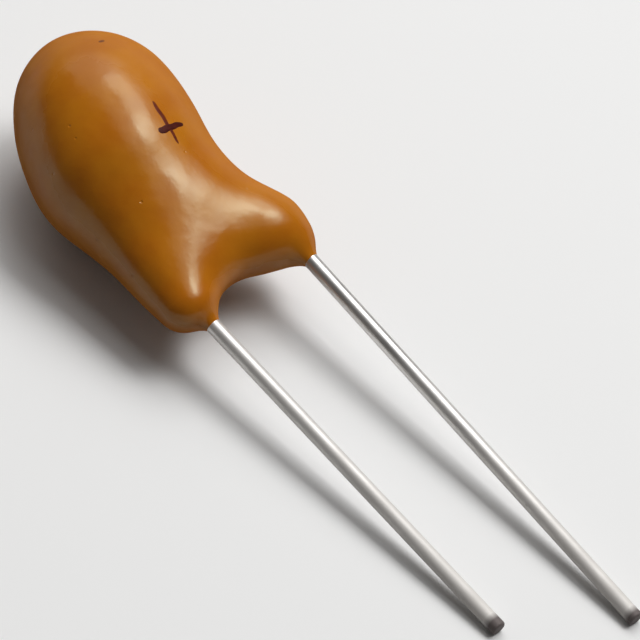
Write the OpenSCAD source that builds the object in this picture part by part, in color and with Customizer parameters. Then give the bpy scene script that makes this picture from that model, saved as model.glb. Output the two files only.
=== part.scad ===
// Dipped tantalum capacitor: a sintered anode with its wires, under one coat of epoxy.
//
// It is drawn upright: x runs from the negative lead to the positive one, z up the body
// from the seat, the level where the leads leave the coating, and y through the body.
// At the end it is laid down as it rests, on the belly of its bulb and the two lead tips.

/* [Leads] */
// Diameter of the lead wires
lead_d = 0.64; // [0.56:0.01:0.72]
// Distance between the two leads at the seat
lead_pitch = 5.08; // [4.8:0.02:5.4]
// Length of the negative lead outside the coating
negative_free = 17.1; // [10:0.1:24]
// Length of the positive lead outside the coating
positive_free = 19.9; // [10:0.1:26]
// Angle by which each free lead leans in towards the other
toe_in = 0.8; // [0.6:0.1:2]
// Rounding of the sheared lead ends
tip_round = 0.1; // [0.05:0.01:0.2]
// Bend radius of the positive lead inside the coating, on its centre line
positive_bend_r = 1.6; // [1.2:0.1:1.8]
// Bend radius of the negative lead inside the coating, on its centre line
negative_bend_r = 6; // [4:0.5:8]

/* [Anode] */
// Diameter of the tantalum pellet
pellet_d = 4.7; // [4.2:0.1:5]
// Height of the tantalum pellet
pellet_h = 5.4; // [4.6:0.1:6]
// Distance of the pellet from the middle, towards the negative lead
pellet_shift = 0.45; // [0.3:0.01:0.6]
// Rounding of the pellet's edges
pellet_round = 0.4; // [0.2:0.05:0.8]
// Diameter of the riser wire
riser_d = 0.5; // [0.4:0.02:0.6]
// Length of the riser wire below the pellet
riser_out = 2.9; // [2.6:0.1:3.4]
// Length of the riser wire pressed into the pellet
riser_in = 4; // [2:0.1:4.2]
// Diameter of the insulating washer on the riser
washer_d = 2.2; // [1.6:0.1:3]
// Thickness of the insulating washer
washer_t = 0.4; // [0.3:0.05:0.6]
// Thickness of the conductive coat round the pellet
cathode_t = 0.12; // [0.1:0.01:0.2]
// Height of bare pellet left below the conductive coat
bare_h = 0.7; // [0.5:0.1:1.2]

/* [Joints] */
// Solder film between the conductive coat and the negative lead
solder_film = 0.06; // [0.04:0.01:0.12]
// Solder that covers the outside of the negative lead
solder_cover = 0.2; // [0.1:0.02:0.26]
// Rounding of the ends of the solder
solder_round = 0.25; // [0.1:0.05:0.25]
// Length of the negative lead along the pellet
solder_run = 2.6; // [2:0.1:3]
// Length of the weld between the positive lead and the riser
weld_run = 1.3; // [0.8:0.1:1.6]
// Depth to which the positive lead sinks into the riser at the weld
weld_sink = 0.06; // [0.04:0.01:0.1]

/* [Coating] */
// Height of the pellet's lower end above the seat
pellet_z = 6.2; // [6:0.1:6.6]
// Coating thickness at the side of the pellet
coat_side = 0.88; // [0.75:0.01:1.1]
// Coating thickness over the top of the pellet
coat_top = 2.1; // [1.9:0.05:2.5]
// Coating thickness under the pellet, where the bulb would close without the legs
coat_under = 0.1; // [0.05:0.05:0.5]
// Radius of the shoulder over the soldered end of the negative lead
shoulder_r = 2.25; // [2:0.05:2.5]
// Distance of the shoulder's centre inside the pellet's side
shoulder_inset = 0.8; // [0.6:0.05:1.1]
// Height of the shoulder's centre above the pellet's lower end
shoulder_rise = 1.25; // [0.8:0.05:1.8]
// Radius of the blunt leg round the negative lead
negative_leg_r = 1.5; // [1.3:0.05:1.6]
// Radius of the waist over the riser
waist_r = 1.9; // [1.7:0.05:2.2]
// Height of the waist's centre above the pellet's lower end
waist_rise = 0.8; // [0.4:0.05:1.2]
// Radius of the knee over the bend of the positive lead
knee_r = 1.4; // [1.2:0.05:1.6]
// Distance of the knee's centre inside the positive lead
knee_inset = 0.54; // [0.3:0.02:0.8]
// Height of the knee's centre above the seat
knee_z = 1.9; // [1.6:0.05:2.2]
// Radius of the blunt end round the positive lead
positive_leg_r = 0.75; // [0.7:0.05:1]
// Depth to which the coating creeps down the leads below the seat
creep = 0.08; // [0.06:0.01:0.12]
// Reach of the soft blends where the coats of neighbouring parts run together
blend = 3.2; // [2.6:0.1:3.6]

/* [Facets] */
// Points in each ring round the coating
ring_points = 64; // [48:4:80]
// Rings over the dome
dome_rings = 14; // [10:1:18]
// Rings down the waist
waist_rings = 12; // [8:1:16]
// Rings over the legs and the notch between them
leg_rings = 22; // [16:1:26]

/* [Hidden] */
$fn = 48;

epoxy_color = [0.80, 0.45, 0.08];
wire_color = [0.74, 0.73, 0.71];
tantalum_color = [0.32, 0.33, 0.36];
riser_color = [0.50, 0.51, 0.54];
washer_color = [0.93, 0.93, 0.90];
silver_color = [0.68, 0.68, 0.67];
solder_color = [0.60, 0.61, 0.62];

// Distance by which a cut runs past the face that it opens
cut = 1;
// Depth to which the straight stretches of a wire run into its bends
run_in = 0.05;
// Extra radius of a bend, so that it swallows the ends that run into it
bend_swell = 0.004;
lead_r = lead_d / 2;
riser_r = riser_d / 2;
pellet_r = pellet_d / 2;
cathode_r = pellet_r + cathode_t;
pellet_top = pellet_z + pellet_h;
pellet_x = -pellet_shift;
lead_x = lead_pitch / 2;

// ---- Routes of the leads, in the x-z plane ----
// A heading is the angle from straight up towards +x.

function heading(a, b) = atan2(b[0] - a[0], b[1] - a[1]);
function across(h) = [cos(h), -sin(h)];

// Inside the coating each lead makes an S: a bend to the given side, a straight stretch,
// and a bend back to upright at the point end. The result is [first turn, stretch, last turn].
function s_bend(seat, lean, end, r, side) =
    let (c1 = seat + side * r * across(lean), c2 = end - [side * r, 0],
         apart = norm(c2 - c1), h = heading(c1, c2) + side * asin(2 * r / apart))
    [h - lean, sqrt(apart * apart - 4 * r * r), -h];

// The negative lead ends along the pellet, and the positive lead along the riser
negative_end = [pellet_x - cathode_r - solder_film - lead_r, pellet_z + bare_h];
positive_end = [pellet_x + riser_r + lead_r - weld_sink, pellet_z - washer_t - riser_r - weld_run];
negative_s = s_bend([-lead_x, 0], -toe_in, negative_end, negative_bend_r, -1);
positive_s = s_bend([lead_x, 0], toe_in, positive_end, positive_bend_r, -1);

// ---- Shape of the coating ----
// Each function gives a distance from a surface, negative inside.

function ellipsoid_gap(p, centre, radii) =
    let (q = [for (i = [0:2]) (p[i] - centre[i]) / radii[i]],
         steep = norm([for (i = [0:2]) q[i] / radii[i]]))
    norm(q) * (norm(q) - 1) / max(steep, 0.001);

function taper_gap(p, a, b, ra, rb) =
    let (t = min(max((p - a) * (b - a) / ((b - a) * (b - a)), 0), 1))
    norm(p - a - t * (b - a)) - ra - t * (rb - ra);

// Two surfaces run together within the given reach, as a thick liquid does
function run_together(a, b, reach) = min(a, b) - pow(max(reach - abs(a - b), 0), 2) / (4 * reach);

bulb_r = cathode_r + coat_side;
bulb_half_h = (coat_under + pellet_h + coat_top) / 2;
bulb_c = [0, 0, pellet_z - coat_under + bulb_half_h];
shoulder_c = [pellet_x - pellet_r + shoulder_inset, 0, pellet_z + shoulder_rise];
negative_leg_c = [-lead_x, 0, negative_leg_r - creep];
waist_c = [0, 0, pellet_z + waist_rise];
knee_c = [lead_x - knee_inset, 0, knee_z];
positive_leg_c = [lead_x, 0, positive_leg_r - creep];
// The knee is already thick, so it takes up less of the blend
knee_blend = blend / 3;

function coat_gap(p) = run_together(
    run_together(ellipsoid_gap(p, bulb_c, [bulb_r, bulb_r, bulb_half_h]),
                 taper_gap(p, shoulder_c, negative_leg_c, shoulder_r, negative_leg_r), blend),
    run_together(taper_gap(p, waist_c, knee_c, waist_r, knee_r),
                 taper_gap(p, knee_c, positive_leg_c, knee_r, positive_leg_r), knee_blend), blend);

// The point where a ray from inside leaves the coating, found by halving the stretch
ray_end = 8;
ray_halvings = 14;
function skin(o, d, near = 0, far = ray_end, n = ray_halvings) =
    let (mid = (near + far) / 2)
    n == 0 ? o + mid * d
           : coat_gap(o + mid * d) < 0 ? skin(o, d, mid, far, n - 1) : skin(o, d, near, mid, n - 1);

// Rings of rays: over the dome from the bulb's centre, level down the waist, and over the
// legs from the fork. Each is [height of its origin, angle from straight up].
fork_z = knee_z + lead_pitch / 3;
ring_rays = concat([for (i = [1:dome_rings]) [bulb_c.z, 90 * i / dome_rings]],
                   [for (i = [1:waist_rings]) [bulb_c.z + (fork_z - bulb_c.z) * i / waist_rings, 90]],
                   [for (i = [1:leg_rings - 1]) [fork_z, 90 + 90 * i / leg_rings]]);
ring_count = len(ring_rays);

function ray(theta, turn) = [sin(theta) * cos(turn), sin(theta) * sin(turn), cos(theta)];

// ---- Pose at rest ----

function unit(v) = v / norm(v);

// The point of the coating that lies farthest along n, by a search round the bulb's centre
function far_ray(n, theta, turn, step) =
    let (tries = [for (i = [-1:1], j = [-1:1]) [theta + i * step, turn + j * step]],
         reach = [for (t = tries) skin(bulb_c, ray(t[0], t[1])) * n],
         best = tries[search(max(reach), reach)[0]])
    step < 0.2 ? best
               : best == [theta, turn] ? far_ray(n, theta, turn, step / 2)
                                       : far_ray(n, best[0], best[1], step);
function belly(n) = let (t = far_ray(n, acos(n.z), atan2(n.y, n.x), 8)) skin(bulb_c, ray(t[0], t[1]));

// The point of a lead's rounded tip that lies farthest along n
function tip_point(side, free, n) =
    let (up = [side * sin(toe_in), 0, cos(toe_in)], out = unit(n - (n * up) * up))
    [side * lead_x, 0, 0] - (free - tip_round) * up + (lead_r - tip_round) * out + tip_round * n;

// The floor touches both tips and the belly: each pass carries its slope to the touching points
function floor_normal(n, passes = 4) =
    let (a = tip_point(-1, negative_free, n), b = tip_point(1, positive_free, n), c = belly(n))
    passes == 0 ? n : floor_normal(unit(cross(c - a, b - a)), passes - 1);

down = floor_normal([0, 1, 0]);
row_z = -down;
row_y = unit([0, 0, 1] - row_z.z * row_z);
row_x = cross(row_y, row_z);
floor_point = tip_point(1, positive_free, down);

// Middle of the laid part, across and along, between the points that reach farthest
side_step = (bulb_c.z - negative_leg_r) / ring_points;
side_levels = [for (z = [negative_leg_r:side_step:bulb_c.z]) [0, 0, z]];
side_reach = [for (o = side_levels, s = [-1, 1]) skin(o, [s, 0, 0]) * row_x];
tip_reach = tip_point(1, positive_free, -row_y) * row_y;
middle_x = (max(side_reach) + min(side_reach)) / 2;
middle_y = (belly(row_y) * row_y + tip_reach) / 2;
origin = middle_x * row_x + middle_y * row_y + (floor_point * row_z) * row_z;

module laid() {
    multmatrix([for (axis = [row_x, row_y, row_z]) [axis.x, axis.y, axis.z, -origin * axis]])
        children();
}

// ---- Shapes that repeat ----

// A round bar along +z with rounded ends
module rounded_bar(r, h, bottom_round, top_round) {
    rotate_extrude() {
        translate([0, bottom_round]) square([r, h - bottom_round - top_round]);
        square([r - bottom_round, h / 2]);
        translate([0, h / 2]) square([r - top_round, h / 2]);
        for (end = [[bottom_round, bottom_round], [h - top_round, top_round]])
            if (end[1] > 0) translate([r - end[1], end[0]]) circle(end[1]);
    }
}

// A round bend from the origin along +z, turning towards +x. It is a hair thicker than the
// straight stretches, which run into it. The children go on from its end.
module bend(turn, r) {
    side = sign(turn);
    translate([side * r, 0, 0]) {
        rotate([90, 0, side > 0 ? 180 : 0]) rotate_extrude(angle = abs(turn))
            translate([r, 0]) circle(lead_r + bend_swell);
        rotate([0, turn, 0]) translate([-side * r, 0, 0]) children();
    }
}

// A whole lead: straight outside the coating, then its S-bend and its joined end
module lead_wire(side, free, s, r, run) {
    translate([side * lead_x, 0, 0]) rotate([0, side * toe_in, 0]) {
        translate([0, 0, -free]) rounded_bar(lead_r, free + run_in, tip_round, 0);
        bend(s[0], r) {
            translate([0, 0, -run_in]) cylinder(r = lead_r, h = s[1] + 2 * run_in);
            translate([0, 0, s[1]]) bend(s[2], r)
                translate([0, 0, -run_in]) rounded_bar(lead_r, run + run_in, 0, tip_round);
        }
    }
}

module negative_wire() {
    lead_wire(-1, negative_free, negative_s, negative_bend_r, solder_run);
}

module positive_wire() {
    lead_wire(1, positive_free, positive_s, positive_bend_r, weld_run);
}

// ---- Parts, upright ----

module riser_wire() {
    translate([pellet_x, 0, pellet_z - riser_out]) cylinder(r = riser_r, h = riser_out + riser_in);
}

// The pellet with a skin of thickness t on it
module pellet_form(t = 0) {
    translate([pellet_x, 0, pellet_z - t])
        rounded_bar(pellet_r + t, pellet_h + 2 * t, pellet_round, pellet_round + t);
}

// The coated stretch of the pellet, from the end of the negative lead upwards
module coated_form() {
    intersection() {
        pellet_form(cathode_t);
        translate([pellet_x, 0, negative_end[1]]) cylinder(r = cathode_r + cut, h = pellet_h);
    }
}

// A bead of solder that buries the negative lead where it lies along the pellet
module solder_bead() {
    translate([negative_end[0], 0, negative_end[1] + solder_cover])
        rounded_bar(lead_r + solder_cover, solder_run, solder_round, solder_round);
}

// A disc against the pellet's lower end, running into it by the given depth
module washer_disc(depth = 0) {
    translate([pellet_x, 0, pellet_z - washer_t]) cylinder(d = washer_d, h = washer_t + depth);
}

// Everything that the coating was dipped over
module dipped_parts() {
    pellet_form();
    coated_form();
    solder_bead();
    washer_disc(run_in);
    riser_wire();
    negative_wire();
    positive_wire();
}

module coat_body() {
    rays = [for (r = ring_rays, i = [0:ring_points - 1])
                skin([0, 0, r[0]], ray(r[1], 360 * i / ring_points))];
    top = ring_count * ring_points;
    points = concat(rays, [skin(bulb_c, [0, 0, 1]), skin([0, 0, fork_z], [0, 0, -1])]);
    band = [for (j = [0:ring_count - 2], i = [0:ring_points - 1])
                let (k = (i + 1) % ring_points, a = j * ring_points, b = a + ring_points)
                each [[a + i, a + k, b + k], [a + i, b + k, b + i]]];
    base = top - ring_points;
    caps = [for (i = [0:ring_points - 1]) let (k = (i + 1) % ring_points)
                each [[top, k, i], [top + 1, base + i, base + k]]];
    polyhedron(points, concat(band, caps), convexity = 6);
}

// ---- Nodes ----

module dip_coating() {
    color(epoxy_color) laid() difference() {
        coat_body();
        dipped_parts();
    }
}

module negative_lead() {
    color(wire_color) laid() negative_wire();
}

module positive_lead() {
    color(wire_color) laid() difference() {
        positive_wire();
        riser_wire();
    }
}

module anode_pellet() {
    color(tantalum_color) laid() difference() {
        pellet_form();
        riser_wire();
    }
}

module anode_riser() {
    color(riser_color) laid() riser_wire();
}

module riser_washer() {
    color(washer_color) laid() difference() {
        washer_disc();
        riser_wire();
    }
}

module cathode_coat() {
    color(silver_color) laid() difference() {
        coated_form();
        pellet_form();
    }
}

module solder_fillet() {
    color(solder_color) laid() difference() {
        solder_bead();
        coated_form();
        negative_wire();
    }
}

dip_coating();
negative_lead();
positive_lead();
anode_pellet();
anode_riser();
riser_washer();
cathode_coat();
solder_fillet();
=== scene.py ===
# %% [markdown]
# # A dipped tantalum capacitor
# The part is a pear-shaped drop of orange epoxy with two straight tinned wires. A pressed
# slug of tantalum powder sits inside the drop, with one wire soldered to its side and the
# other welded to a thin riser. This notebook dresses the packed solids so that they look
# like the real thing. It works in millimetres in the upright frame in which the part was
# drawn, and lays every point down at the end, because the legs, the waist and the plus
# mark are easiest to describe while the part stands on its wires.

# %% The packed solids and their box
import bmesh
import bpy
import math
import numpy as np
from mathutils import Matrix, Vector


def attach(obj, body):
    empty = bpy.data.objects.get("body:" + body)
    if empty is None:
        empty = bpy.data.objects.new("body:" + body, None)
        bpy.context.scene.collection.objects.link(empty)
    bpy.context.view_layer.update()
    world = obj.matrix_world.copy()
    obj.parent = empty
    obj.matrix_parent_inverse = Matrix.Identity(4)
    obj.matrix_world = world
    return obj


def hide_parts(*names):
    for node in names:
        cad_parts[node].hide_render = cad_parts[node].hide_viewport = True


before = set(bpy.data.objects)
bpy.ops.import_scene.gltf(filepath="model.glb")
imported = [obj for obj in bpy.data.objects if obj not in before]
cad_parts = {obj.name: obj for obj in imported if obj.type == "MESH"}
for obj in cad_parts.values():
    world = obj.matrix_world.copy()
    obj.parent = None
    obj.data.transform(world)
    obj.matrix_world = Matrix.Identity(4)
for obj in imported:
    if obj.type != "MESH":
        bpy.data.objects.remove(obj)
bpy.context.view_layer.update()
MM = 0.001
print("packed nodes:", ", ".join(sorted(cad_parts)))

# %% [markdown]
# ## From the upright frame to the resting one
# The part rests on the belly of its bulb and on its two wire tips. The three rows below are
# the resting axes, written in the upright frame, and the fourth is the middle of the floor
# under it. One matrix product then lays down any number of points at once.

# %% Laying points down
REST_AXES = np.array([[0.997191, 0.0749035, 0.0],
                      [-0.0090844, 0.120941, 0.992618],
                      [0.0743506, -0.98983, 0.121281]])
REST_ORIGIN = np.array([-0.635506, 2.11601, -3.37599])


def lay_down(points_mm):
    return (np.asarray(points_mm) - REST_ORIGIN) @ REST_AXES.T * MM


def lay_direction(directions):
    return np.asarray(directions) @ REST_AXES.T


print("seat of the leads at", np.round(lay_down([0, 0, 0]) / MM, 3), "mm")

# %% [markdown]
# ## The camera
# A long lens far away keeps the part's sides parallel, as a close-up of a small thing looks
# through a telephoto macro lens. The camera stands behind the body's left side, looks down at
# about 49 degrees and is rolled a little. Its three axes are written out, so nothing has to
# track or turn towards a target.

# %% Camera
CAMERA_PLACE = (-0.110812, -0.101663, 0.176779)
CAMERA_RIGHT = (0.74989023, -0.65409104, 0.09914408)
CAMERA_UP = (0.44934817, 0.61358005, 0.64931175)
SENSOR_MM = 36.0
LENS_MM = 333.35

lens = bpy.data.cameras.new("lens")
lens.sensor_width = SENSOR_MM
lens.lens = LENS_MM
lens.clip_start = 0.01
lens.clip_end = 20
camera = bpy.data.objects.new("camera", lens)
right, up = Vector(CAMERA_RIGHT).normalized(), Vector(CAMERA_UP).normalized()
camera.matrix_world = Matrix.Translation(CAMERA_PLACE) @ Matrix(
    (right, up, right.cross(up))).transposed().to_4x4()
bpy.context.scene.collection.objects.link(camera)
bpy.context.scene.camera = camera
print("camera stands", round(Vector(CAMERA_PLACE).length / MM), "mm from the part")

# %% [markdown]
# ## The skin of the dipped coat
# Dipping leaves one unbroken skin: thick on the slug, thinner on the wires, and run together
# in soft hollows where the coats of neighbouring parts meet. It could be sculpted by hand, but
# then nobody could change a size, and spheres and cones joined by booleans would leave creases.
# So the skin is written as a distance, which is negative inside the coat and zero on its skin.
# An ellipsoid covers the slug, tapers follow the wires, a flattened web fills the fork between
# the legs, and a smooth minimum lets them flow together. The packed solid has the same layout
# and is slightly fuller, so the coat stays inside its box.

# %% Sizes of the coat, in millimetres
LEAD_R = 0.32
LEAD_X = 2.54
TOE_IN = math.radians(0.8)
BULB_C, BULB_R = (0.0, 0.0, 9.9), (3.35, 3.28, 3.8)
SHOULDER_C, SHOULDER_R = (-1.70, 0.0, 7.25), 2.29
NEGATIVE_LEG_C, NEGATIVE_LEG_R = (-2.92, -0.14, 1.17), 1.10
WAIST_C, WAIST_R = (-0.50, 0.0, 7.01), 1.50
KNEE_C, KNEE_R = (2.11, 0.0, 1.95), 1.10
POSITIVE_LEG_C, POSITIVE_LEG_R = (LEAD_X, 0.0, 1.05), 0.76
ABOVE_FORK_Z = 3.6
WEB_A, WEB_A_R = (-0.48, 0.0, 3.43), 1.13
WEB_B, WEB_B_R = (0.50, 0.0, 2.84), 0.60
WEB_FLATTENED = 1.33
WEB_REACH = 2.92
REACH = 3.42
KNEE_REACH = 1.13
print("the ball over the slug is", 2 * BULB_R[0], "mm wide and", 2 * BULB_R[1], "mm thick")


# %% Distances and the smooth minimum
def ellipsoid_gap(p, centre, radii):
    q = (p - centre) / radii
    size = np.linalg.norm(q, axis=1)
    return size * (size - 1) / np.maximum(np.linalg.norm(q / radii, axis=1), 1e-3)


def taper_gap(p, a, b, radius_a, radius_b):
    """Distance from two balls and the cone that touches both, so that nothing creases."""
    a, axis = np.array(a), np.subtract(b, a)
    length = np.linalg.norm(axis)
    axis = axis / length
    lean = (radius_a - radius_b) / length
    up = (p - a) @ axis
    out = np.sqrt(np.maximum(((p - a) ** 2).sum(axis=1) - up ** 2, 0))
    t = np.clip((up - out * lean / math.sqrt(1 - lean * lean)) / length, 0, 1)
    return np.hypot(out, up - t * length) - radius_a - t * (radius_b - radius_a)


def run_together(a, b, reach):
    """The smooth minimum. It adds most, a quarter of the reach, where both are the same."""
    return np.minimum(a, b) - np.maximum(reach - abs(a - b), 0) ** 2 / (4 * reach)


print("the widest blend adds up to", REACH / 4, "mm of epoxy")

# %% [markdown]
# ## Rims and dents
# Where a wire leaves the coat, the liquid climbs it by a fraction of a millimetre and sets as
# a thin concave rim, the meniscus. A short taper round each wire, run together with the coat
# over a short reach, gives that rim. The coat also has slow dents a few hundredths of a
# millimetre deep, because it sagged a little before it set. A displacement modifier could make
# them, but then the ink of the mark wouldn't follow. Three crossed sine waves are added to the
# distance instead, each lifted so that it only ever cuts inwards.

# %% The coat with its rims and dents
RIM_TOP, RIM_END = 0.55, -0.26
RIM_TOP_R, RIM_END_R = LEAD_R + 0.1, LEAD_R - 0.06
RIM_REACH = 0.55
# Each dent: the direction and density of its waves, where they start, and half their depth.
DENTS = [((0.9, 0.5, 1.3), 0.2, 0.009),
         ((-1.7, 1.1, 0.8), 1.9, 0.006),
         ((0.6, -1.9, 2.1), 4.0, 0.004)]


def lead_point(side, height):
    return (side * (LEAD_X + math.sin(TOE_IN) * height), 0.0, math.cos(TOE_IN) * height)


def coat_gap(p):
    flank = taper_gap(p, SHOULDER_C, NEGATIVE_LEG_C, SHOULDER_R, NEGATIVE_LEG_R)
    thigh = taper_gap(p, WAIST_C, KNEE_C, WAIST_R, KNEE_R)
    shin = taper_gap(p, KNEE_C, POSITIVE_LEG_C, KNEE_R, POSITIVE_LEG_R)
    gap = run_together(run_together(ellipsoid_gap(p, BULB_C, BULB_R), flank, REACH),
                       run_together(thigh, shin, KNEE_REACH), REACH)
    web = taper_gap(p * (1, WEB_FLATTENED, 1), WEB_A, WEB_B, WEB_A_R, WEB_B_R) / WEB_FLATTENED
    gap = run_together(gap, web, WEB_REACH)
    for side in (-1, 1):
        rim = taper_gap(p, lead_point(side, RIM_TOP), lead_point(side, RIM_END), RIM_TOP_R, RIM_END_R)
        gap = run_together(gap, rim, RIM_REACH)
    for direction, start, half_depth in DENTS:
        gap = gap + half_depth * (1 + np.sin(p @ np.array(direction) + start))
    return gap


def coat_slope(p, step=0.002):
    """Slope of the distance: it points straight out of the skin."""
    return np.stack([coat_gap(p + step * axis) - coat_gap(p - step * axis)
                     for axis in np.eye(3)], axis=1) / (2 * step)


start_depth = -coat_gap(np.array([[0, 0, ABOVE_FORK_Z]]))[0]
print("a place above the fork lies", round(float(start_depth), 3), "mm inside the coat")

# %% [markdown]
# ## A mesh on the skin
# Blender's metaballs would draw such a blend too, but they know no tapers and give no exact
# normals. Here rays from above the fork between the legs find a rough mesh of the skin by
# halving. Its faces are long where the rays graze the legs, so a voxel remesh evens them out,
# and then every point slides down the slope of the distance until it lies on the skin again.
# The slope also gives each point its exact normal, which keeps the reflections of a glossy
# coat free of ripples.

# %% Helpers that find the skin and even out a mesh
FARTHEST_SKIN = 12.0
VOXEL_MM = 0.075


def halve_to_skin(origin, directions, passes=22):
    near, far = np.zeros(len(directions)), np.full(len(directions), FARTHEST_SKIN)
    for _ in range(passes):
        middle = (near + far) / 2
        inside = coat_gap(origin + middle[:, None] * directions) < 0
        near, far = np.where(inside, middle, near), np.where(inside, far, middle)
    return origin + near[:, None] * directions


def pull_to_skin(points, passes=5):
    for _ in range(passes):
        slope = coat_slope(points)
        points = points - (coat_gap(points) / (slope ** 2).sum(axis=1))[:, None] * slope
    return points


def mesh_points(mesh):
    flat = np.empty(len(mesh.vertices) * 3)
    mesh.vertices.foreach_get("co", flat)
    return flat.reshape(-1, 3)


def set_points(mesh, points):
    mesh.vertices.foreach_set("co", np.asarray(points, dtype=float).ravel())
    mesh.update()


def even_out(mesh):
    """The same body with small square faces, from Blender's voxel remesh."""
    helper = bpy.data.objects.new("evened", mesh)
    bpy.context.scene.collection.objects.link(helper)
    remesh = helper.modifiers.new("voxels", "REMESH")
    remesh.mode = "VOXEL"
    remesh.voxel_size = VOXEL_MM
    seen = helper.evaluated_get(bpy.context.evaluated_depsgraph_get())
    even = bpy.data.meshes.new_from_object(seen)
    bpy.data.objects.remove(helper)
    return even


dome_top = halve_to_skin(np.array([0, 0, ABOVE_FORK_Z]), np.array([[0.0, 0.0, 1.0]]))[0, 2]
print("the top of the dome lies", round(float(dome_top), 2), "mm above the seat")

# %% Making the coat
ball = bmesh.new()
bmesh.ops.create_icosphere(ball, subdivisions=6, radius=1.0)
rough = bpy.data.meshes.new("rough_coat")
ball.to_mesh(rough)
ball.free()
set_points(rough, halve_to_skin(np.array([0, 0, ABOVE_FORK_Z]), mesh_points(rough)))
even = even_out(rough)
set_points(even, pull_to_skin(mesh_points(even)))
coat_mesh = even_out(even)
skin = pull_to_skin(mesh_points(coat_mesh))
normals = coat_slope(skin)
set_points(coat_mesh, lay_down(skin))
coat_mesh.name = "dipped_coat"
for face in coat_mesh.polygons:
    face.use_smooth = True
coat_mesh.normals_split_custom_set_from_vertices(
    lay_direction(normals / np.linalg.norm(normals, axis=1)[:, None]))
print("coat:", len(coat_mesh.polygons), "faces, each about", VOXEL_MM, "mm wide")


# %% Naming a finished piece
def finish_piece(name, mesh):
    """A piece with this name that rides on the root body."""
    piece = bpy.data.objects.new(name, mesh)
    bpy.context.scene.collection.objects.link(piece)
    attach(piece, "root")
    return piece


coat = finish_piece("dipped_coat", coat_mesh)
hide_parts("dip_coating")
print(coat.name, "takes the place of dip_coating")

# %% [markdown]
# ## The plus mark
# The mark tells which wire is positive. On the real part a pen tip or a rubber stamp lays
# down a film of dark ink. A flat picture of the mark would need a texture, and a curve with a
# thickness would float over the bulb or cut into it. Each stroke is instead a very thin pillow
# of ink: rows of points across the stroke, dropped onto the skin, raised in the middle and sunk
# at the rim, so that it hugs the curve of the bulb.

# %% Dropping points onto the marked face
CLEAR_OF_COAT = 7.0


def drop_on_skin(across, height, passes=26):
    """Where lines along y, from the marked side, first meet the skin."""
    start = np.stack([across, np.full_like(across, -CLEAR_OF_COAT), height], axis=1)
    down = np.tile([0.0, 1.0, 0.0], (len(across), 1))
    near, far = np.zeros(len(across)), np.full(len(across), CLEAR_OF_COAT)
    for _ in range(passes):
        middle = (near + far) / 2
        inside = coat_gap(start + middle[:, None] * down) < 0
        near, far = np.where(inside, near, middle), np.where(inside, middle, far)
    return start + near[:, None] * down


marked_face = drop_on_skin(np.array([0.5]), np.array([6.6]))[0, 1]
print("the middle of the mark lies", round(float(-marked_face), 2), "mm in front of the leads")

# %% One stroke of ink
INK_SINK = 0.02
INK_EDGE_DROP = 0.004
END_SQUARENESS = 12
HAND_WOBBLE, WOBBLE_RATE, WOBBLE_START = 0.012, 17.0, 1.3


def stroke_rows(start, end, widths, rows, columns):
    """Rows of points across a stroke, in x and z, with round ends and a slight wobble."""
    start, end = np.array(start), np.array(end)
    along = (end - start) / np.linalg.norm(end - start)
    aside = np.array([-along[1], along[0]])
    t = np.linspace(0, 1, rows)
    width = np.interp(t, np.linspace(0, 1, len(widths)), widths)
    round_off = np.sqrt(np.clip(1 - (2 * t - 1) ** END_SQUARENESS, 0.02, 1))
    u = np.linspace(-1, 1, columns)
    flat = (start + t[:, None, None] * (end - start)
            + (u[None, :] * (width * round_off)[:, None] / 2)[..., None] * aside)
    wobble = HAND_WOBBLE * np.sin(t * WOBBLE_RATE + WOBBLE_START)[:, None]
    return flat + wobble[..., None] * aside


def pillow_faces(rows, columns):
    """Faces of a closed pillow: a grid on top, one underneath and a band round the rim."""
    count = rows * columns
    corners = [r * columns + c for r in range(rows - 1) for c in range(columns - 1)]
    top = [(a, a + 1, a + 1 + columns, a + columns) for a in corners]
    under = [tuple(count + corner for corner in reversed(quad)) for quad in top]
    rim = ([c for c in range(columns)] + [r * columns + columns - 1 for r in range(1, rows)]
           + [(rows - 1) * columns + c for c in range(columns - 2, -1, -1)]
           + [r * columns for r in range(rows - 2, 0, -1)])
    return top + under + [(a, b, b + count, a + count) for a, b in zip(rim, rim[1:] + rim[:1])]


def ink_stroke(name, start, end, widths, rise, rows=48, columns=13):
    """One closed pillow of ink that rises this far above the skin."""
    flat = stroke_rows(start, end, widths, rows, columns)
    ground = drop_on_skin(flat[..., 0].ravel(), flat[..., 1].ravel())
    out = coat_slope(ground)
    out /= np.linalg.norm(out, axis=1)[:, None]
    swell_along = np.sin(np.pi * np.linspace(0.02, 0.98, rows)) ** 0.25
    swell_across = 1 - np.linspace(-1, 1, columns) ** 4
    pillow = np.outer(swell_along, swell_across).ravel()[:, None]
    top = ground + out * (pillow * (rise + INK_EDGE_DROP) - INK_EDGE_DROP)
    under = ground - out * INK_SINK
    mesh = bpy.data.meshes.new(name)
    mesh.from_pydata(lay_down(np.concatenate([top, under])).tolist(), [], pillow_faces(rows, columns))
    mesh.validate()
    shell = bmesh.new()
    shell.from_mesh(mesh)
    bmesh.ops.recalc_face_normals(shell, faces=shell.faces)
    shell.to_mesh(mesh)
    shell.free()
    for face in mesh.polygons:
        face.use_smooth = True
    return finish_piece(name, mesh)


# %% The two strokes
long_stroke = ink_stroke("plus_mark_long", start=(0.51, 7.86), end=(0.36, 5.95),
                         widths=(0.15, 0.20, 0.19, 0.15, 0.13), rise=0.008)
short_stroke = ink_stroke("plus_mark_short", start=(-0.12, 6.65), end=(1.13, 6.63),
                          widths=(0.28, 0.30, 0.27, 0.24, 0.18), rise=0.018)
print("plus mark: two strokes,", len(long_stroke.data.polygons), "faces each")

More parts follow.
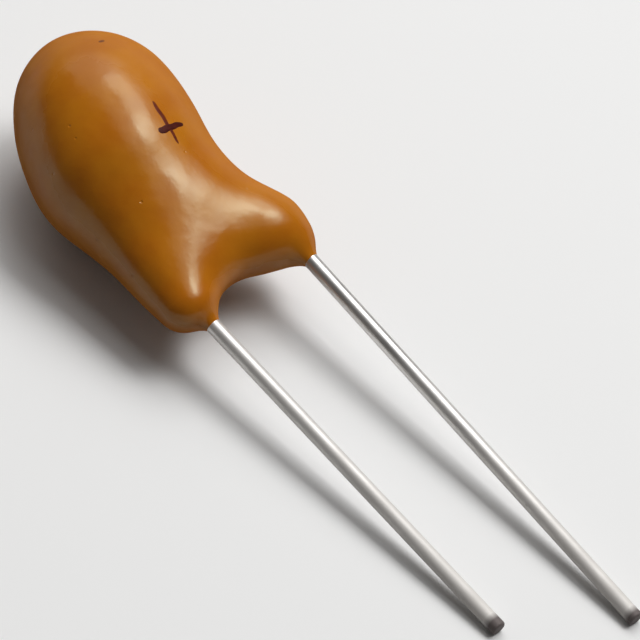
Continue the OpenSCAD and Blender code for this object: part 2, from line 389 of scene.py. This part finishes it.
# %% [markdown]
# ## Finishes
# Each finish is one node tree around a Principled shader. Painted pictures would need an
# unwrapped mesh, so every pattern is a formula of the place on the piece instead. The helpers
# below add the parts that all of them need: a spot in the piece's own space, a noise at a size
# in millimetres, a mix of two colours, and a bump. The places are in metres, so a pattern of a
# given size has a scale of one over that size.

# %% Node helpers and dressing
class Finish:
    """A material with a Principled shader and short calls for its nodes."""

    def __init__(self, name, colour, roughness, metallic=0.0, ior=1.5):
        self.material = bpy.data.materials.new(name)
        self.material.use_nodes = True
        self.nodes = self.material.node_tree.nodes
        self.links = self.material.node_tree.links
        self.shader = self.nodes["Principled BSDF"]
        self.shader.inputs["Base Color"].default_value = (*colour, 1)
        self.shader.inputs["Roughness"].default_value = roughness
        self.shader.inputs["Metallic"].default_value = metallic
        self.shader.inputs["IOR"].default_value = ior
        self.spot = self.nodes.new("ShaderNodeTexCoord").outputs["Object"]
        self.material.diffuse_color = (*colour, 1)

    def noise(self, size_mm, detail=3.0, stretch=(1, 1, 1)):
        """Soft noise from 0 to 1, drawn out along an axis where stretch is below 1."""
        mapping = self.nodes.new("ShaderNodeMapping")
        mapping.inputs["Scale"].default_value = stretch
        self.links.new(self.spot, mapping.inputs["Vector"])
        noise = self.nodes.new("ShaderNodeTexNoise")
        noise.inputs["Scale"].default_value = 1 / (size_mm * MM)
        noise.inputs["Detail"].default_value = detail
        self.links.new(mapping.outputs["Vector"], noise.inputs["Vector"])
        return noise.outputs["Fac"]

    def dots(self, size_mm, solid_to, gone_at, grey_above):
        """Dots on the scattered points whose random grey is high. Radii are parts of the size."""
        cell = self.nodes.new("ShaderNodeTexVoronoi")
        cell.inputs["Scale"].default_value = 1 / (size_mm * MM)
        self.links.new(self.spot, cell.inputs["Vector"])
        near = self.ramp(cell.outputs["Distance"], [(solid_to, 1.0), (gone_at, 0.0)])
        chosen = self.ramp(cell.outputs["Color"], [(grey_above, 0.0), (grey_above + 0.02, 1.0)])
        return self.math("MULTIPLY", near, chosen)

    def ramp(self, factor, stops):
        """A grey that runs from the first stop's level to the second's along the factor."""
        ramp = self.nodes.new("ShaderNodeValToRGB")
        for element, (place, level) in zip(ramp.color_ramp.elements, stops):
            element.position = place
            element.color = (level, level, level, 1)
        self.links.new(factor, ramp.inputs["Fac"])
        return ramp.outputs["Color"]

    def math(self, kind, *values):
        """A sum of numbers and of other nodes' outputs."""
        node = self.nodes.new("ShaderNodeMath")
        node.operation = kind
        for socket, value in zip(node.inputs, values):
            if isinstance(value, (int, float)):
                socket.default_value = value
            else:
                self.links.new(value, socket)
        return node.outputs[0]

    def mix(self, factor, a, b):
        """From colour a where the factor is 0 to colour b where it is 1."""
        node = self.nodes.new("ShaderNodeMix")
        node.data_type = "RGBA"
        self.links.new(factor, node.inputs["Factor"])
        for socket, value in ((node.inputs[6], a), (node.inputs[7], b)):
            if isinstance(value, tuple):
                socket.default_value = (*value, 1)
            else:
                self.links.new(value, socket)
        return node.outputs[2]

    def far_from(self, point_mm):
        """Distance in millimetres from one point of the upright frame."""
        node = self.nodes.new("ShaderNodeVectorMath")
        node.operation = "DISTANCE"
        self.links.new(self.spot, node.inputs[0])
        node.inputs[1].default_value = lay_down(point_mm)
        return self.math("MULTIPLY", node.outputs["Value"], 1 / MM)

    def along(self):
        """The place along the lying part in millimetres, less than zero towards the wire tips."""
        split = self.nodes.new("ShaderNodeSeparateXYZ")
        self.links.new(self.spot, split.inputs[0])
        return self.math("MULTIPLY", split.outputs["Y"], 1 / MM)

    def feed(self, socket, value):
        self.links.new(value, self.shader.inputs[socket])

    def bump(self, height, depth_mm, before=None):
        """A relief of this depth, on top of the relief that came before."""
        node = self.nodes.new("ShaderNodeBump")
        node.inputs["Distance"].default_value = depth_mm * MM
        self.links.new(height, node.inputs["Height"])
        if before is not None:
            self.links.new(before, node.inputs["Normal"])
        return node.outputs["Normal"]


def dress(piece, material):
    """Put a finish on a piece that was made in this notebook."""
    piece.data.materials.clear()
    piece.data.materials.append(material)


def dress_node(node, material):
    """Put a finish on one of the packed solids."""
    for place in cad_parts[node].material_slots:
        place.material = material


print("a finish can use:", ", ".join(name for name in vars(Finish) if name[0] != "_"))

# %% [markdown]
# ## Orange epoxy
# The coat is a glossy mustard-orange epoxy, opaque and cured. Its pigment never spreads quite
# evenly, so the orange is deeper in slow patches. It is also painted paler towards the dome, as
# painted light, so that the dome looks more brightly lit than the legs. Dust that fell on it while
# it set left dark specks, and one larger fleck near the dome's top.

# %% Colour of the epoxy
# The orange runs from painted shade at the legs to painted light at the dome; the patches are the
# pigment's own.
PAINTED_SHADE_ORANGE, PAINTED_LIGHT_ORANGE = (0.46, 0.134, 0.002), (0.53, 0.174, 0.004)
PATCH_ORANGE, DUST_BROWN = (0.43, 0.108, 0.001), (0.16, 0.035, 0.006)
HIGHLIGHT_TINT = (0.88, 1.0, 0.76)
# How fast the painted light grows towards the dome, and its level at the middle of the body.
PAINTED_LIGHT_PER_MM, PAINTED_LIGHT_AT_MIDDLE = 0.06, 0.5
PATCH_STRENGTH = 0.5
FLECK_START, FLECK_END = (0.80, -2.84, 11.49), (1.02, -2.79, 11.46)
FLECK_DARK_TO, FLECK_GONE_AT = 0.245, 0.30

epoxy = Finish("orange_epoxy", (0.49, 0.150, 0.003), 0.24)
epoxy.shader.inputs["Specular Tint"].default_value = (*HIGHLIGHT_TINT, 1)
# Painted light: the orange is paler towards the dome and deeper towards the legs.
painted_dome_light = epoxy.math("MULTIPLY_ADD", epoxy.along(), PAINTED_LIGHT_PER_MM, PAINTED_LIGHT_AT_MIDDLE)
patches = epoxy.ramp(epoxy.noise(1.6, detail=4), [(0.38, 0.0), (0.66, 1.0)])
tint = epoxy.mix(epoxy.math("MULTIPLY", patches, PATCH_STRENGTH),
                 epoxy.mix(painted_dome_light, PAINTED_SHADE_ORANGE, PAINTED_LIGHT_ORANGE), PATCH_ORANGE)
specks = epoxy.dots(0.9, solid_to=0.025, gone_at=0.05, grey_above=0.80)
to_both_ends = epoxy.math("ADD", epoxy.far_from(FLECK_START), epoxy.far_from(FLECK_END))
fleck = epoxy.ramp(to_both_ends, [(FLECK_DARK_TO, 1.0), (FLECK_GONE_AT, 0.0)])
epoxy.feed("Base Color", epoxy.mix(epoxy.math("MAXIMUM", specks, fleck), tint, DUST_BROWN))
dress(coat, epoxy.material)
print("the epoxy's colour takes", len(epoxy.nodes), "nodes")

# %% [markdown]
# ## Gloss and relief of the epoxy
# The coat is smooth but not polished: it sags softly, has a faint orange peel and a few
# pinholes. All three are bumps, one on top of the other, which need no more faces. The peel
# also scatters light that grazes it, so a Layer Weight makes the coat rougher where it turns
# away from the eye. With one gloss for all of it, the coat would mirror the table as a pale
# rim all round.

# %% Gloss and relief
SAG_MM, PEEL_MM, PINHOLE_MM = 0.05, 0.009, 0.02
ROUGH_LEAST, ROUGH_MOST, ROUGHER_AT_EDGE = 0.19, 0.27, 0.66

turning_away = epoxy.nodes.new("ShaderNodeLayerWeight")
turning_away.inputs["Blend"].default_value = 0.5
scatter = epoxy.ramp(turning_away.outputs["Facing"], [(0.3, 0.0), (0.8, ROUGHER_AT_EDGE)])
gloss = epoxy.ramp(epoxy.noise(0.7), [(0.3, ROUGH_LEAST), (0.7, ROUGH_MOST)])
epoxy.feed("Roughness", epoxy.math("ADD", gloss, scatter))
sag = epoxy.bump(epoxy.noise(1.5, detail=1), SAG_MM)
peel = epoxy.bump(epoxy.noise(0.42), PEEL_MM, before=sag)
pinholes = epoxy.dots(0.7, solid_to=0.03, gone_at=0.10, grey_above=0.70)
epoxy.feed("Normal", epoxy.bump(pinholes, -PINHOLE_MM, before=peel))
print("with its relief it takes", len(epoxy.nodes), "nodes")

# %% [markdown]
# ## Maroon ink
# The ink sinks a little into the gloss, so it is duller than the epoxy. The long stroke was
# drawn with less ink, and the orange below shows through it. A see-through film would show its
# own underside too, so the orange is mixed into the ink's own colour instead.

# %% Ink
def maroon_ink(stroke, dark, thin):
    """Dark ink with thinner patches."""
    ink = Finish(stroke.name + "_ink", dark, 0.45, ior=1.3)
    ink.shader.inputs["Specular IOR Level"].default_value = 0.25
    patches = ink.ramp(ink.noise(0.22), [(0.35, 0.0), (0.7, 1.0)])
    ink.feed("Base Color", ink.mix(patches, dark, thin))
    ink.feed("Normal", ink.bump(ink.noise(0.08), 0.002))
    dress(stroke, ink.material)


maroon_ink(short_stroke, dark=(0.055, 0.006, 0.004), thin=(0.085, 0.010, 0.004))
maroon_ink(long_stroke, dark=(0.115, 0.014, 0.004), thin=(0.18, 0.030, 0.004))
print("ink on", short_stroke.name, "and", long_stroke.name)

# %% [markdown]
# ## Tinned wire
# The leads are copper wire with a skin of tin. Drawing leaves fine lines along the wire, and
# the tin is mottled between satin and dull. It is bright near the coat. Towards the tip, where
# fingers and tools touch it, it wears rougher and less like bare metal, and the negative lead
# is worn over all its length. The cutter leaves each tip dark. A picture wrapped round each
# wire could show all this, but the distance from the tip is one number that does for both.

# %% Tin on the leads
BRIGHT_TIN = ((0.80, 0.785, 0.765), (0.68, 0.66, 0.64))
WORN_TIN = ((0.80, 0.775, 0.74), (0.67, 0.64, 0.605))
CUT_BROWN = (0.15, 0.125, 0.12)
MOST_WORN, METAL_LOST = 0.92, 0.8
ROUGH_NEW, ROUGH_BY_MOTTLE, ROUGH_BY_WEAR, ROUGH_CUT = 0.26, 0.24, 0.32, 0.6
MOTTLE_DEPTH, LINE_DEPTH = 0.004, 0.003
CUT_DARK_TO, CUT_GONE_AT = 0.1875, 0.46875
NEGATIVE_TIP_Y, NEGATIVE_WORN = -13.75, 22.0
POSITIVE_TIP_Y, POSITIVE_WORN = -16.7, 15.0


def tin(name, tip_y, worn_length):
    """Tin on a wire with its tip at this y, worn dull over a length from there, in millimetres."""
    finish = Finish(name, (0.70, 0.68, 0.66), 0.3, metallic=1.0)
    lines = finish.noise(0.09, detail=2, stretch=(1, 0.02, 1))
    mottle = finish.noise(0.5, stretch=(1, 0.35, 1))
    from_tip = finish.math("SUBTRACT", finish.along(), tip_y)
    cut = finish.ramp(from_tip, [(CUT_DARK_TO, 1.0), (CUT_GONE_AT, 0.0)])
    worn = finish.ramp(finish.math("DIVIDE", from_tip, worn_length), [(0.1, MOST_WORN), (1.0, 0.0)])
    shade = finish.mix(worn, finish.mix(mottle, *BRIGHT_TIN), finish.mix(mottle, *WORN_TIN))
    finish.feed("Base Color", finish.mix(cut, shade, CUT_BROWN))
    finish.feed("Metallic", finish.math("MULTIPLY_ADD", worn, -METAL_LOST, 1.0))
    satin = finish.math("MULTIPLY_ADD", mottle, ROUGH_BY_MOTTLE, ROUGH_NEW)
    rough = finish.math("MULTIPLY_ADD", worn, ROUGH_BY_WEAR, satin)
    finish.feed("Roughness", finish.math("MAXIMUM", rough, finish.math("MULTIPLY", cut, ROUGH_CUT)))
    finish.feed("Normal", finish.bump(mottle, MOTTLE_DEPTH, before=finish.bump(lines, LINE_DEPTH)))
    return finish.material


dress_node("negative_lead", tin("negative_lead_tin", NEGATIVE_TIP_Y, NEGATIVE_WORN))
dress_node("positive_lead", tin("positive_lead_tin", POSITIVE_TIP_Y, POSITIVE_WORN))
print("tin on both leads")

# %% [markdown]
# ## What the coat hides
# The inner parts never show unless someone cuts the part open, but they get their own finish
# too: grainy sintered metal, drawn tantalum wire, waxy fluoropolymer, brushed-on silver paint
# and a smooth bead of solder. A noise and a bump are enough for each of them.

# %% Inner finishes
slug = Finish("sintered_tantalum", (0.085, 0.085, 0.10), 0.75, metallic=0.4)
grain = slug.noise(0.06, detail=4)
slug.feed("Base Color", slug.mix(grain, (0.06, 0.06, 0.07), (0.14, 0.14, 0.16)))
slug.feed("Normal", slug.bump(grain, 0.02))
dress_node("anode_pellet", slug.material)

riser = Finish("drawn_tantalum", (0.30, 0.31, 0.35), 0.35, metallic=1.0)
riser_lines = riser.noise(0.05, detail=2, stretch=(1, 0.02, 1))
riser.feed("Roughness", riser.ramp(riser_lines, [(0.3, 0.28), (0.7, 0.45)]))
riser.feed("Normal", riser.bump(riser_lines, 0.002))
dress_node("anode_riser", riser.material)

washer = Finish("waxy_fluoropolymer", (0.82, 0.82, 0.79), 0.5)
wax = washer.noise(0.3)
washer.feed("Base Color", washer.mix(wax, (0.84, 0.84, 0.81), (0.76, 0.76, 0.73)))
washer.feed("Normal", washer.bump(wax, 0.005))
dress_node("riser_washer", washer.material)

paint = Finish("silver_paint", (0.45, 0.45, 0.44), 0.55, metallic=0.8)
strokes = paint.noise(0.25, stretch=(1, 0.15, 1))
paint.feed("Base Color", paint.mix(strokes, (0.50, 0.50, 0.49), (0.33, 0.33, 0.33)))
paint.feed("Normal", paint.bump(strokes, 0.01))
dress_node("cathode_coat", paint.material)

solder = Finish("grey_solder", (0.48, 0.49, 0.50), 0.3, metallic=1.0)
frost = solder.noise(0.2)
solder.feed("Roughness", solder.ramp(frost, [(0.3, 0.22), (0.7, 0.4)]))
solder.feed("Normal", solder.bump(frost, 0.006))
dress_node("solder_fillet", solder.material)
print("inner finishes:", ", ".join(f.material.name for f in (slug, riser, washer, paint, solder)))

# %% [markdown]
# ## The table
# A plain pale sheet, so large that every view of the part sees only it. It is pale to the
# camera and in reflections, and takes the part's shadow. The light that it scatters back up
# onto the part is that of a greyer sheet, so that the part's underside stays deep and dark. A
# grey sheet would do the same for the part, but it would look grey itself.

# %% Floor
FLOOR_HALF = 1.6
SCATTERING_GREY = (0.27, 0.265, 0.26)
CORNERS = ((-1, -1), (1, -1), (1, 1), (-1, 1))

floor_mesh = bpy.data.meshes.new("pale_table")
floor_mesh.from_pydata([(FLOOR_HALF * x, FLOOR_HALF * y, 0) for x, y in CORNERS], [], [(0, 1, 2, 3)])
floor = bpy.data.objects.new("pale_table", floor_mesh)
bpy.context.scene.collection.objects.link(floor)
table = Finish("pale_table", (0.88, 0.88, 0.875), 0.9)
table.shader.inputs["Specular IOR Level"].default_value = 0.1
pale = table.mix(table.noise(30, detail=2), (0.90, 0.90, 0.895), (0.89, 0.89, 0.885))
ray = table.nodes.new("ShaderNodeLightPath").outputs
looked_at = table.math("ADD", table.math("ADD", ray["Is Camera Ray"], ray["Is Glossy Ray"]),
                       ray["Is Transmission Ray"])
table.feed("Base Color", table.mix(looked_at, SCATTERING_GREY, pale))
dress(floor, table.material)
print("table", 2 * FLOOR_HALF, "m wide")

# %% [markdown]
# ## The light
# A bank of softboxes hangs level above the part, on its right. A narrow bright one makes the
# crisp left edge of the band that runs down the ridge of the coat, and wider, weaker ones
# behind it let the band fade to the right. The room itself is nearly dark, so the shaded side
# keeps its deep orange brown. Each softbox is given by the slopes of the rays that reach its
# edges, because those decide where its reflection falls, and by its brightness. A panorama of
# a studio would light the part too, but its edges couldn't be set one by one.

# %% Softboxes and the room
BANK_HEIGHT, BANK_STEP = 0.45, 0.01
ROOM_COLOUR, ROOM_BRIGHTNESS = (1.0, 0.98, 0.96), 0.09
# Each softbox: its slopes across the part, its slopes along it, and its brightness.
SOFTBOXES = {"bright_band": ((0.33, 0.70), (-0.32, 0.05), 5.8),
             "middle": ((0.33, 0.87), (-0.54, 0.78), 3.7),
             "feather": ((0.0, 1.32), (-0.55, 2.20), 0.95)}


def softbox(name, across, along, brightness, height):
    """A lit rectangle. Its edges are given as slopes, so its size grows with its height."""
    width, length = (across[1] - across[0]) * height, (along[1] - along[0]) * height
    light = bpy.data.lights.new(name, "AREA")
    light.shape = "RECTANGLE"
    light.size, light.size_y = width, length
    light.energy = brightness * math.pi * width * length
    piece = bpy.data.objects.new(name, light)
    piece.location = (sum(across) / 2 * height, sum(along) / 2 * height, height)
    bpy.context.scene.collection.objects.link(piece)


for step, (name, (across, along, brightness)) in enumerate(SOFTBOXES.items()):
    softbox(name, across, along, brightness, BANK_HEIGHT + BANK_STEP * step)

room = bpy.data.worlds.new("room")
room.use_nodes = True
glow = room.node_tree.nodes["Background"]
glow.inputs["Color"].default_value = (*ROOM_COLOUR, 1)
glow.inputs["Strength"].default_value = ROOM_BRIGHTNESS
bpy.context.scene.world = room
bpy.context.scene.view_settings.view_transform = "Standard"
print("light from", len(SOFTBOXES), "softboxes")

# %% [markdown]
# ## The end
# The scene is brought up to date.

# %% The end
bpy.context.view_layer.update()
